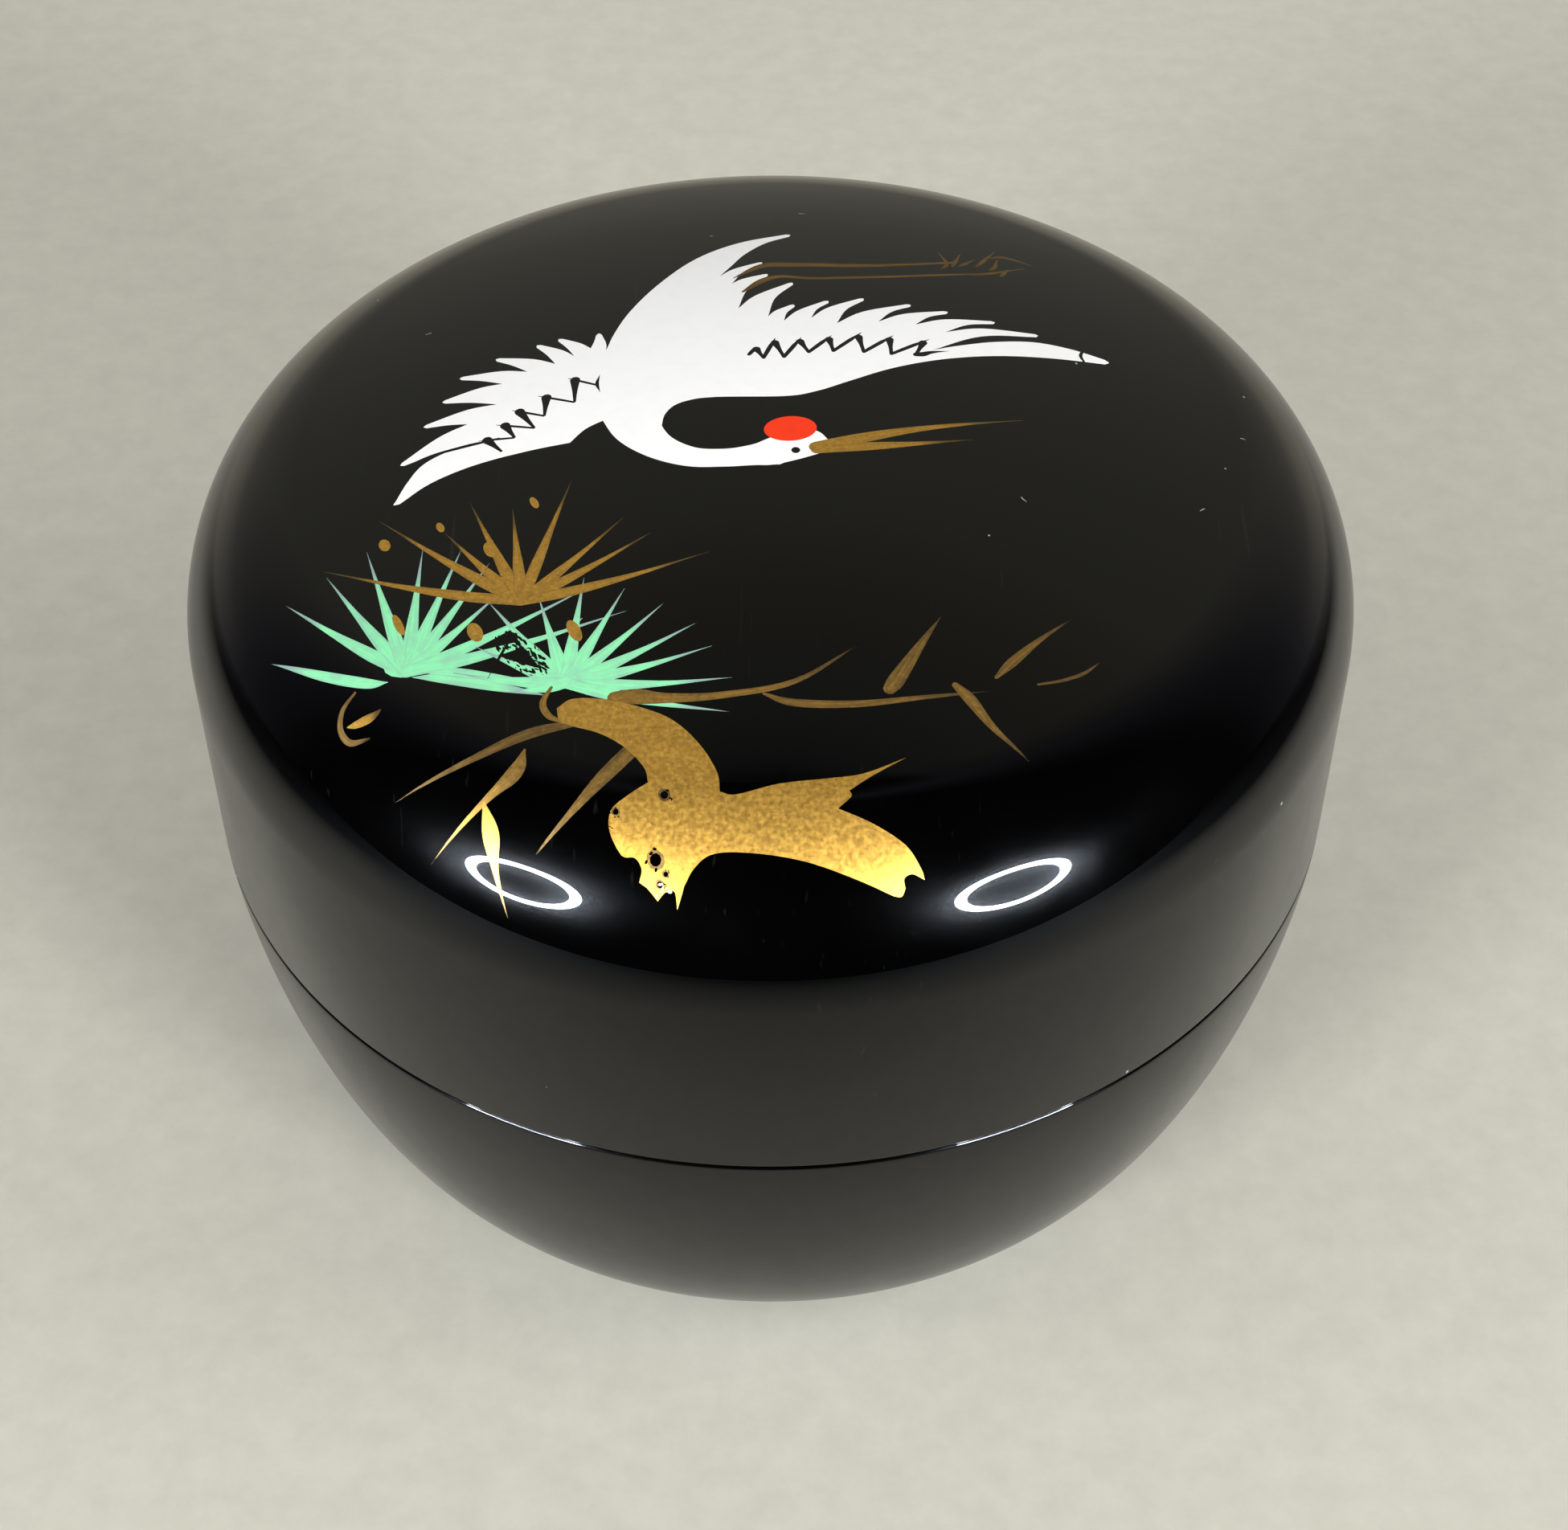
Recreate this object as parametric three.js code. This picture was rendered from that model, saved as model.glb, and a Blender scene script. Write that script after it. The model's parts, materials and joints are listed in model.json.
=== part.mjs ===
// A flat round tea caddy in black lacquer: a bowl-shaped body with a thin collar, and a tall domed
// lid that slides down over the collar and lifts straight off.
// Millimetres, +Z up. The origin is the centre of the foot, on the surface the box stands on.
import * as THREE from "three";

// Lid, outside
const lidRadius = 41; // the widest radius, kept all the way down the lid's upright wall
const lidWallHeight = 15.3; // from the lid's lower edge up to where its wall turns into the shoulder
const lidWall = 2.4;
const shoulderRadius = 11.8; // the round edge between the upright wall and the crown
const crownRadius = 125; // the very shallow dome on top

// Seam, collar and fit
const seamHeight = 29; // the lid's lower edge rests on the body's ledge here
const collarHeight = 8; // the collar's rise above the ledge, hidden inside the lid
const collarWall = 1.9;
const fitGap = 0.3; // radial clearance between the collar and the lid
const edgeBreak = 0.25; // the small bevel on the meeting edges, which reads as a fine line
const collarEdgeBreak = 0.5; // the bevel that leads the lid on to the collar

// Body
const bellyOverhang = 13.1; // how far the seam stands out past the foot
const bodyWall = 2.6;
const footRingWidth = 3;
const footRecess = 0.8; // how far the middle of the underside stands clear of the table
const bellySpread = 2.24; // exponents of the belly's curve: how fast it widens,
const bellyRise = 1.47; // and how fast it climbs

// Finish
const lacquerBlack = 0x0b0a0c;
const lacquerRoughness = 0.1;

// Facets
const turnSegments = 64;
const bellySteps = 13;
const shoulderSteps = 8;
const crownSteps = 6;

const seamRadius = lidRadius;
const footRadius = seamRadius - bellyOverhang;
const shoulderStart = seamHeight + lidWallHeight;
const lidBore = lidRadius - lidWall;
const collarOuter = lidBore - fitGap;
const collarInner = collarOuter - collarWall;

const at = (radius, height) => new THREE.Vector2(radius, height);

// Points along a circular arc, from one angle to another, both measured from the outward direction.
function arcPoints(centreRadius, centreHeight, radius, fromAngle, toAngle, steps) {
  const points = [];
  for (let i = 0; i <= steps; i++) {
    const angle = fromAngle + ((toAngle - fromAngle) * i) / steps;
    points.push(
      at(centreRadius + radius * Math.cos(angle), centreHeight + radius * Math.sin(angle)),
    );
  }
  return points;
}

// The crown and shoulder as one tangent run of two arcs, from the axis out to the upright wall.
// An inset of one wall thickness gives the same run for the inside.
function domePoints(inset) {
  const centreSpan = crownRadius - shoulderRadius;
  const shoulderCentre = lidRadius - shoulderRadius;
  const drop = Math.sqrt(centreSpan ** 2 - shoulderCentre ** 2);
  const crownCentreHeight = shoulderStart - drop;
  const tangentAngle = Math.atan2(drop, shoulderCentre);
  const crown = arcPoints(
    0,
    crownCentreHeight,
    crownRadius - inset,
    Math.PI / 2,
    tangentAngle,
    crownSteps,
  );
  const shoulder = arcPoints(
    shoulderCentre,
    shoulderStart,
    shoulderRadius - inset,
    tangentAngle,
    0,
    shoulderSteps,
  );
  crown[0].x = 0;
  return [...crown, ...shoulder.slice(1)];
}

// The belly's outline, from the foot up to the seam: level at the foot and upright at the seam.
function bellyPoints() {
  const points = [];
  for (let i = 0; i <= bellySteps; i++) {
    const turn = ((i / bellySteps) * Math.PI) / 2;
    const widening = Math.sin(turn) ** (2 / bellySpread);
    const climb = 1 - Math.cos(turn) ** (2 / bellyRise);
    points.push(at(footRadius + (seamRadius - footRadius) * widening, seamHeight * climb));
  }
  return points;
}

// The inside of the belly: the outline moved inwards by the wall, as far up as the collar's bore.
// A thick wall never reaches the bore, and then runs all the way up to the seam.
function insideBellyPoints() {
  const outline = bellyPoints();
  const moved = outline.map((point, i) => {
    const before = outline[Math.max(i - 1, 0)];
    const after = outline[Math.min(i + 1, outline.length - 1)];
    const along = after.clone().sub(before).normalize();
    return at(point.x - along.y * bodyWall, point.y + along.x * bodyWall);
  });
  moved[0] = at(footRadius, bodyWall);
  const past = moved.findIndex((point) => point.x >= collarInner);
  if (past < 0) {
    return moved;
  }
  const inside = moved.slice(0, past);
  const share = (collarInner - moved[past - 1].x) / (moved[past].x - moved[past - 1].x);
  inside.push(moved[past - 1].clone().lerp(moved[past], share));
  inside[inside.length - 1].x = collarInner;
  return inside;
}

// A solid of revolution about Z from a profile of radius and height.
function turned(profile) {
  return new THREE.LatheGeometry(profile, turnSegments).rotateX(Math.PI / 2);
}

function lacquer() {
  return new THREE.MeshStandardMaterial({
    color: lacquerBlack,
    roughness: lacquerRoughness,
    metalness: 0,
  });
}

function makeLid() {
  const profile = [
    ...domePoints(lidWall),
    at(lidBore, seamHeight + edgeBreak),
    at(lidBore + edgeBreak, seamHeight),
    at(lidRadius - edgeBreak, seamHeight),
    at(lidRadius, seamHeight + edgeBreak),
    ...domePoints(0).reverse(),
  ];
  const lid = new THREE.Mesh(turned(profile), lacquer());
  lid.name = "lid";
  return lid;
}

function makeBody() {
  const recessRadius = footRadius - footRingWidth;
  const belly = bellyPoints();
  const collarTop = seamHeight + collarHeight;
  const profile = [
    at(0, footRecess),
    at(recessRadius - footRecess, footRecess),
    at(recessRadius, 0),
    ...belly.slice(0, -1),
    at(seamRadius, seamHeight - edgeBreak),
    at(seamRadius - edgeBreak, seamHeight),
    at(collarOuter, seamHeight),
    at(collarOuter, collarTop - collarEdgeBreak),
    at(collarOuter - collarEdgeBreak, collarTop),
    at(collarInner + collarEdgeBreak, collarTop),
    at(collarInner, collarTop - collarEdgeBreak),
    ...insideBellyPoints().reverse(),
    at(0, bodyWall),
  ];
  const body = new THREE.Mesh(turned(profile), lacquer());
  body.name = "body";
  return body;
}

const box = new THREE.Group();
box.add(makeBody(), makeLid());

export default box;
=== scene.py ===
# %% [markdown]
# # A painted lacquer caddy
#
# The object is a flat, round tea caddy: a bowl and a domed lid, both turned on a lathe and covered in many thin
# coats of black lacquer. A crane and a pine bough are painted on the lid in white, red, green and gold.
# This lesson turns the two shells, cuts the painting into the lid's surface, and gives each finish its own material.
#
# The measured model comes first. It fixes where every piece goes, so nothing below is placed by eye.

# %% Load the measured model
import json
import math
import random
from collections import namedtuple

import bmesh
import bpy
from mathutils import Matrix, Vector, geometry

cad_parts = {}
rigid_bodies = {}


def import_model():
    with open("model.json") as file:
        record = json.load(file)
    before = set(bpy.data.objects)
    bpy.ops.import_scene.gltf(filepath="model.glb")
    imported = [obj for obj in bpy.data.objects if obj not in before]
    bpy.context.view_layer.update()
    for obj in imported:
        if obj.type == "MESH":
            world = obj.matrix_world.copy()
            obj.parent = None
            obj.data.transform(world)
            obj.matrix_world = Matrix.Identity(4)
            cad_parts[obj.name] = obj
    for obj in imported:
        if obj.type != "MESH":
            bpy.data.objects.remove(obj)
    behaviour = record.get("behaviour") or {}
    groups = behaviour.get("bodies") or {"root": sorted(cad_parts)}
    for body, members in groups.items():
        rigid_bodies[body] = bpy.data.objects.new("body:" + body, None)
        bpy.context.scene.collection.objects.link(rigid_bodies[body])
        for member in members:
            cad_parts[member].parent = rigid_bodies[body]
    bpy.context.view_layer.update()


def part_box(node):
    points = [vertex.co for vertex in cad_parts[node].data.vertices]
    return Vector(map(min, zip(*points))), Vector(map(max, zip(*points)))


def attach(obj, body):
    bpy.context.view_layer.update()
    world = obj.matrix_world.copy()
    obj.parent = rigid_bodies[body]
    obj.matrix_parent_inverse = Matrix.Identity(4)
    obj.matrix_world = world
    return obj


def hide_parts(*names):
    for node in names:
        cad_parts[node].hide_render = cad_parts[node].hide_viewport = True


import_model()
MM = 0.001
lid_low, lid_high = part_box("lid")
_, body_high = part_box("body")

# %% [markdown]
# ## The camera
#
# A camera can be placed by eye or solved. The outline of a turned shape and the ellipse of its seam are enough:
# together they give the height of the eye, its distance and the lens. The values below are that solution, with
# the lens stated for the picture's wider side.

# %% Camera
EYE = Vector((0.9, -151.5, 176.2)) * MM
LOOKED_AT = Vector((0.9, 0.0, 25.0)) * MM
ROLL = math.radians(-0.2)
SENSOR_WIDTH = 36.0
PICTURE_WIDTH = 1951
FOCAL_PIXELS = 3500

camera_data = bpy.data.cameras.new("camera")
camera_data.sensor_width = SENSOR_WIDTH
camera_data.lens = FOCAL_PIXELS / PICTURE_WIDTH * SENSOR_WIDTH
camera_data.clip_start = 0.01
camera = bpy.data.objects.new("camera", camera_data)
aim = (LOOKED_AT - EYE).to_track_quat("-Z", "Y").to_matrix().to_4x4()
camera.matrix_world = Matrix.Translation(EYE) @ aim @ Matrix.Rotation(ROLL, 4, "Z")
bpy.context.scene.collection.objects.link(camera)
bpy.context.scene.camera = camera
print("lens, mm:", round(camera_data.lens, 2))

# %% [markdown]
# ## Small helpers
#
# Every piece ends the same way: its bmesh becomes an object at the origin, tied to the measured model.

# %% From bmesh to object


def make_object(name, shape, materials):
    """A new object at the origin, holding the finished bmesh and its materials in slot order."""
    mesh = bpy.data.meshes.new(name)
    shape.to_mesh(mesh)
    shape.free()
    for material in materials:
        mesh.materials.append(material)
    piece = bpy.data.objects.new(name, mesh)
    bpy.context.scene.collection.objects.link(piece)
    return piece


def hook_up(piece, node):
    """Ties a piece to the measured model: it stands for one node, whose own part is hidden."""
    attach(piece, "root")
    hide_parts(node)
    print(piece.name, "has", len(piece.data.polygons), "faces")


# %% [markdown]
# ## The lid's curve
#
# Seen from the side, the lid is three simple lines that run into one another: a crown that is a piece of a very
# large circle, a round shoulder, and an upright wall. Two circles meet without a kink when their centres and the
# meeting point lie on one line, and that condition gives every other number here.

# %% The crown and the shoulder
LID_RADIUS = lid_high.x
LID_WALL = 2.4 * MM
CROWN_RADIUS = 125 * MM
SHOULDER_RADIUS = 11.8 * MM

shoulder_centre = LID_RADIUS - SHOULDER_RADIUS
centre_drop = math.sqrt((CROWN_RADIUS - SHOULDER_RADIUS) ** 2 - shoulder_centre**2)
crown_centre = lid_high.z - CROWN_RADIUS
shoulder_height = crown_centre + centre_drop
crown_tilt = math.atan2(shoulder_centre, centre_drop)
crown_length = CROWN_RADIUS * crown_tilt
skin_length = crown_length + SHOULDER_RADIUS * (math.pi / 2 - crown_tilt)
print("the wall ends and the shoulder starts at", round(shoulder_height / MM, 2), "mm")
print("from the middle of the crown down to the wall:", round(skin_length / MM, 2), "mm of surface")


def tilt_at(length):
    """How far the surface has tilted, this far from the middle of the crown, measured along the surface."""
    if length <= crown_length:
        return length / CROWN_RADIUS
    return crown_tilt + (length - crown_length) / SHOULDER_RADIUS


def dome_point(tilt, inset=0.0):
    """Radius and height of the dome where it has this tilt; an inset of one wall gives its inside."""
    if tilt <= crown_tilt:
        reach = CROWN_RADIUS - inset
        return reach * math.sin(tilt), crown_centre + reach * math.cos(tilt)
    reach = SHOULDER_RADIUS - inset
    return shoulder_centre + reach * math.sin(tilt), shoulder_height + reach * math.cos(tilt)


def lifted(flat):
    """The place on the lid, and the way the surface faces there, of a point of the flattened crown."""
    length = flat.length
    if length < 1e-9:
        return Vector((0, 0, lid_high.z)), Vector((0, 0, 1))
    tilt = tilt_at(length)
    radius, height = dome_point(tilt)
    way = flat / length
    place = Vector((radius * way.x, radius * way.y, height))
    facing = Vector((math.sin(tilt) * way.x, math.sin(tilt) * way.y, math.cos(tilt)))
    return place, facing


# %% [markdown]
# ## The painting: brush strokes
#
# The picture is flush with the lacquer, so it must not become little slabs on top of the lid. It could be a
# texture, but a texture blurs when the camera comes near. Here each stroke is an outline cut into the lid's own
# surface, so it stays sharp at any distance and adds no height.
#
# A stroke is drawn as a painter makes it: the brush goes through a few places, pressed more or less. Its points
# are therefore (across, away, half width), in millimetres on the flattened crown. Across grows to the right, away
# grows away from the viewer, and 0, 0 is the crown's middle.

# %% A smooth line through a few points
Stroke = namedtuple("Stroke", "paint outline spine loaded")
strokes = []


def smooth_run(points, steps=6):
    """A curve through all the points, with a few steps between each pair."""
    points = [Vector(point) for point in points]
    padded = [2 * points[0] - points[1], *points, 2 * points[-1] - points[-2]]
    run = [points[0]]
    for before, start, end, after in zip(padded, padded[1:], padded[2:], padded[3:]):
        for step in range(1, steps + 1):
            share = step / steps
            bend = (2 * before - 5 * start + 4 * end - after) * share**2
            swing = (3 * start - before - 3 * end + after) * share**3
            run.append(0.5 * (2 * start + (end - before) * share + bend + swing))
    return run


def sideways(run, index):
    """The direction square to the run at one of its points."""
    along = run[min(index + 1, len(run) - 1)].xy - run[max(index - 1, 0)].xy
    return Vector((-along.y, along.x)).normalized()


def round_end(run, index):
    """The few points that round off one end of a stroke, from its left side to its right side."""
    end = run[index]
    if end.z < 0.1:
        return []
    side = sideways(run, len(run) - 1 if index else 0) * end.z
    if index == 0:
        side = -side
    corners = [Matrix.Rotation(math.radians(-turn), 2) @ side for turn in (36, 72, 108, 144)]
    return [end.xy + corner for corner in corners]


def stroke(paint, points, steps=6, loaded=1.0):
    """One pull of the brush. A half width of 0 makes a pointed end, any other makes a round one."""
    run = smooth_run(points, steps)
    left = []
    right = []
    for index, point in enumerate(run):
        half = sideways(run, index) * max(point.z, 0.02)
        left.append(point.xy + half)
        right.append(point.xy - half)
    outline = [*left, *round_end(run, -1), *reversed(right), *round_end(run, 0)]
    strokes.append(Stroke(paint, outline, run, loaded))


def area(paint, *runs):
    """A filled shape. Each run is smooth, and two runs meet in a sharp corner."""
    outline = []
    for points in runs:
        outline += [point.xy for point in smooth_run([(*point, 0) for point in points])][:-1]
    strokes.append(Stroke(paint, outline, None, 1.0))


def dab(paint, centre, width, height, turn=0.0, corners=14, loaded=1.0):
    """An oval touch of the brush."""
    middle = Vector(centre)
    outline = []
    for corner in range(corners):
        angle = 2 * math.pi * corner / corners
        reach = Vector((width / 2 * math.cos(angle), height / 2 * math.sin(angle)))
        outline.append(middle + Matrix.Rotation(math.radians(turn), 2) @ reach)
    strokes.append(Stroke(paint, outline, None, loaded))


def polar(centre, angle, length):
    """The point at this angle, in degrees from straight right, and this distance."""
    turn = math.radians(angle)
    return Vector(centre) + Vector((math.cos(turn), math.sin(turn))) * length


# %% [markdown]
# ## The pine's needles
#
# A pine bough in this style is a set of fans. Every needle starts in the fan's middle, is fattest a third of the
# way out and ends in a hair. A list of angles and lengths is enough for a fan, and a loop paints it. A dab of the
# same paint fills the middle, where the brush came down again and again. Three low needles lie apart from the fans.

# %% Fans of needles
LEFT_FAN = [
    (140, 11.6), (124, 10.9), (108, 11.3), (88, 10.2), (73, 10.3), (59, 9.6), (44, 8.2), (25, 12.6), (13, 14.4),
]
LOW_NEEDLES = [
    [(-24.2, -23.3, 0.02), (-25.6, -23.1, 0.36), (-28.8, -21.7, 0.34), (-33.0, -19.3, 0)],
    [(-22.6, -23.2, 0.02), (-20.4, -23.6, 0.4), (-17.0, -24.7, 0.34), (-13.8, -25.7, 0)],
    [(-22.3, -22.7, 0.1), (-20.0, -23.2, 0.36), (-17.4, -23.9, 0.28), (-14.6, -24.6, 0)],
]
RIGHT_FAN = [
    (127, 8.8), (106, 7.3), (84, 8.4), (64, 8.0), (44, 8.4), (27, 9.2),
    (14, 9.4), (-1, 10.4), (-15, 10.6), (150, 6.8), (168, 7.4), (186, 3.6),
]
GOLD_FAN = [
    (160, 14.6), (139, 13.4), (129, 8.8), (113, 10.2), (97, 8.4), (75, 10.9), (46, 9.2), (32, 9.9), (15, 12.4),
]


def fan(paint, centre, needles, fullness, core):
    """Needles that spread from one point, each a little bent by its own weight."""
    middle = Vector(centre)
    dab(paint, middle + Vector((0, core * 0.3)), core * 1.5, core)
    for angle, length in needles:
        tip = polar(centre, angle, length)
        sag = Vector((0, -0.035 * length * abs(math.cos(math.radians(angle)))))
        places = (middle, middle.lerp(tip, 0.28) + sag, middle.lerp(tip, 0.62) + sag, tip)
        widths = (fullness, fullness, 0.44 * fullness, 0)
        stroke(paint, [(place.x, place.y, width) for place, width in zip(places, widths)])


for needle in LOW_NEEDLES:
    stroke("green", needle)
fan("green", (-23.0, -22.7), LEFT_FAN, 0.45, 2.1)
fan("green", (-12.7, -24.8), RIGHT_FAN, 0.43, 2.5)
fan("gold", (-15.8, -18.0), GOLD_FAN, 0.4, 1.8)
print("strokes after the fans:", len(strokes))

# %% [markdown]
# ## The bough
#
# The bough is one loaded sweep of gold that thickens, turns and forks, so it is drawn as a filled shape with a few
# corners. Loose blades and twigs round it are single strokes, painted first. Each comes with the share of paint
# that was left in the brush, because most of them are drier than the bough.

# %% The bough and its blades
BLADES = [
    ([(-11.9, -27.9, 0.21), (-14.8, -28.4, 0.38), (-18.6, -29.8, 0.22), (-24.0, -31.5, 0)], 0.62),
    ([(-8.0, -29.6, 0.52), (-10.0, -31.7, 0.48), (-12.2, -34.0, 0.22), (-14.6, -36.3, 0.04)], 0.7),
    ([(-15.1, -29.5, 0.06), (-15.7, -31.0, 0.52), (-17.6, -32.5, 0.24), (-22.1, -35.8, 0)], 0.75),
    ([(-17.8, -32.6, 0.06), (-17.5, -34.7, 0.57), (-17.5, -36.9, 0.22), (-17.3, -40.0, 0)], 1.0),
    (
        [
            (-9.6, -26.2, 0.47), (-8.2, -26.2, 0.57), (-6.3, -26.4, 0.38),
            (-3.0, -26.3, 0.26), (1.6, -25.3, 0.19), (5.7, -22.3, 0.02),
        ],
        0.8,
    ),
    ([(-0.4, -26.2, 0.09), (1.6, -26.9, 0.28), (5.6, -26.9, 0.25), (10.4, -26.1, 0.14), (13.7, -25.5, 0.02)], 0.72),
    ([(7.5, -25.7, 0.43), (8.0, -24.9, 0.53), (9.4, -22.4, 0.29), (10.9, -19.8, 0)], 0.68),
    ([(14.2, -24.4, 0.12), (15.3, -23.1, 0.33), (17.2, -21.1, 0.17), (19.3, -19.2, 0)], 0.66),
    ([(16.8, -24.7, 0.08), (18.4, -24.2, 0.11), (19.8, -23.5, 0.12), (21.0, -22.4, 0.02)], 0.55),
    ([(11.6, -25.2, 0.22), (12.5, -26.2, 0.4), (13.9, -28.2, 0.23), (16.1, -30.4, 0.02)], 0.72),
    ([(-13.6, -25.1, 0.1), (-14.1, -26.2, 0.21), (-13.7, -27.2, 0.21), (-12.7, -27.8, 0.1)], 0.8),
    (
        [(-26.4, -23.5, 0.09), (-27.4, -24.6, 0.17), (-27.6, -25.9, 0.22), (-26.9, -26.9, 0.22), (-25.4, -27.0, 0.08)],
        0.66,
    ),
    ([(-27.1, -25.8, 0.04), (-26.4, -25.8, 0.26), (-25.4, -25.6, 0.31), (-24.6, -25.2, 0.06)], 1.0),
]
for blade, loaded in BLADES:
    stroke("gold", blade, loaded=loaded)
area(
    "gold",
    [
        (-13.2, -26.7), (-12.3, -26.1), (-10.6, -26.2), (-8.2, -26.9),
        (-6.0, -28.0), (-4.3, -29.8), (-3.2, -31.8), (-3.0, -33.2),
    ],
    [(-3.0, -33.2), (-2.0, -33.4), (0.6, -32.7), (3.6, -32.3), (5.8, -31.9), (8.4, -30.7)],
    [(8.4, -30.7), (6.4, -32.0), (4.9, -33.1)],
    [(4.9, -33.1), (5.0, -33.5), (4.2, -34.3)],
    [(4.2, -34.3), (6.4, -35.2), (8.4, -36.4), (9.4, -37.7), (9.7, -38.4)],
    [(9.7, -38.4), (8.9, -38.1), (8.4, -38.4), (8.5, -39.0)],
    [(8.5, -39.0), (8.3, -39.5), (7.8, -39.5)],
    [(7.8, -39.5), (5.4, -38.6), (2.2, -37.6), (-1.0, -37.1), (-3.4, -37.1), (-4.6, -37.9), (-5.3, -39.0)],
    [(-5.3, -39.0), (-5.5, -39.6), (-5.8, -40.4)],
    [(-5.8, -40.4), (-5.9, -39.3), (-6.5, -39.3), (-7.0, -39.8)],
    [(-7.0, -39.8), (-7.6, -39.0), (-8.1, -38.6)],
    [
        (-8.1, -38.6), (-7.9, -37.8), (-8.3, -37.1), (-9.1, -36.9),
        (-9.8, -35.4), (-9.7, -34.1), (-8.8, -33.3), (-7.4, -32.4),
    ],
    [(-7.4, -32.4), (-7.6, -31.5), (-8.2, -30.6)],
    [(-8.2, -30.6), (-9.2, -29.6), (-10.6, -28.7), (-12.2, -28.1), (-13.0, -27.6), (-13.2, -26.7)],
)
print("strokes after the bough:", len(strokes))

# %% [markdown]
# ## Drops of gold, and wear
#
# A few drops of gold lie between the needles. The painting is also old. The green has flaked off in one patch,
# the gold has pits, each with a dry rim, and small nicks, and a few pale crumbs stick to it. All of it is painted
# last, mostly in the colour of the lacquer, with a fixed seed so that it comes out the same every time. The same
# seed lays a few fibres of dust on the crown.

# %% Drops, flakes, pits and fibres
GOLD_DROPS = [
    ((-25.3, -11.6), 0.75, 1.2), ((-21.6, -10.7), 0.5, 1.0), ((-15.4, -9.4), 0.5, 1.2), ((-18.1, -13.3), 0.8, 1.5),
    ((-23.8, -18.8), 0.55, 2.0), ((-18.7, -20.2), 0.95, 1.7), ((-12.3, -20.8), 0.8, 1.9),
]
for centre, width, height in GOLD_DROPS:
    dab("gold", centre, width, height, turn=24)

BARE_PATCH = Vector((-15.6, -22.3))
FLAKES = 150
FLAKE_LEAN = -48
SCRATCHES = [
    [(-16.3, -20.9, 0.06), (-17.0, -22.4, 0.1), (-17.7, -24.0, 0)],
    [(-17.5, -21.2, 0.1), (-16.6, -21.0, 0.16), (-15.9, -20.6, 0)],
]
wear = random.Random(7)
for flake in range(FLAKES):
    away = polar((0, 0), wear.uniform(0, 360), wear.random() ** 0.85)
    spot = BARE_PATCH + Matrix.Rotation(math.radians(FLAKE_LEAN), 2) @ Vector((away.x * 2.4, away.y * 1.0))
    size = wear.uniform(0.06, 0.32)
    dab("bare", spot, size * 1.9, size * 0.6, turn=FLAKE_LEAN + wear.uniform(-30, 30), corners=7)
for scratch in SCRATCHES:
    stroke("bare", scratch)

PITS = [
    ((-6.4, -33.3), 0.5), ((-7.0, -37.3), 0.75), ((-6.4, -38.2), 0.3), ((-6.8, -38.8), 0.4), ((-9.4, -34.2), 0.36),
]
CHIPS_PER_PIT = 4
NICKS = 9
CRUMBS = 7
CRUMB_PATCH = (-6.7, -38.9)
for centre, size in PITS:
    dab("gold", centre, size * 1.5, size * 1.8, turn=30, corners=9, loaded=0.6)
for centre, size in PITS:
    dab("bare", centre, size, size * 1.1, corners=9)
    for chip in range(CHIPS_PER_PIT):
        spot = polar(centre, wear.uniform(0, 360), size * wear.uniform(0.6, 1.1))
        dab("bare", spot, size * 0.4, size * 0.25, turn=wear.uniform(0, 180), corners=6)
for nick in range(NICKS):
    spot = (wear.uniform(-10.1, -9.6), wear.uniform(-36.6, -34.4))
    width, height = wear.uniform(0.15, 0.4), wear.uniform(0.06, 0.14)
    dab("bare", spot, width, height, turn=wear.uniform(-40, 10), corners=6)
for crumb in range(CRUMBS):
    spot = polar(CRUMB_PATCH, wear.uniform(0, 360), wear.uniform(0, 0.7))
    width, height = wear.uniform(0.1, 0.4), wear.uniform(0.08, 0.2)
    dab("white", spot, width, height, turn=wear.uniform(0, 180), corners=6, loaded=0.5)

DUST_FIBRES = 10
DUSTY_REACH = 38
for fibre in range(DUST_FIBRES):
    start = polar((0, 0), wear.uniform(0, 360), DUSTY_REACH * wear.random() ** 0.5)
    way = wear.uniform(0, 180)
    middle = polar(start, way, wear.uniform(0.1, 0.4))
    end = polar(middle, way + wear.uniform(-60, 60), wear.uniform(0.1, 0.4))
    stroke("dust", [(*start, 0.02), (*middle, 0.04), (*end, 0.02)], steps=3)
print("strokes after the wear:", len(strokes))

# %% [markdown]
# ## The crane
#
# The crane flies from left to right above the pine, its head bent back under the body. The edge of a wing is a row
# of feather tips with a notch after each, so two short lists, the notches and the tips, are enough: a function
# draws a bowed line from notch to tip and a straighter one back to the next notch.

# %% Wings, tail and body
FEATHER_END = 0.2


def plumage(notches, tips, bow=0.08, hollow=0.1):
    """The runs of a feathered edge: out along each feather to its blunt tip, and back to the next notch."""
    runs = []
    for notch, tip, following in zip(notches, tips, notches[1:]):
        start, point, end = Vector(notch), Vector(tip), Vector(following)
        along = (point - (start + end) / 2).normalized()
        side = along.orthogonal()
        if side.dot(start - end) < 0:
            side = -side
        upper = point + side * FEATHER_END
        lower = point - side * FEATHER_END
        reach = (upper - start).length
        runs.append([start, start.lerp(upper, 0.42) + side * bow * reach, upper])
        runs.append([upper, point + along * FEATHER_END, lower])
        runs.append([lower, lower.lerp(end, 0.5) + side * hollow * (lower - end).length, end])
    return runs


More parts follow.
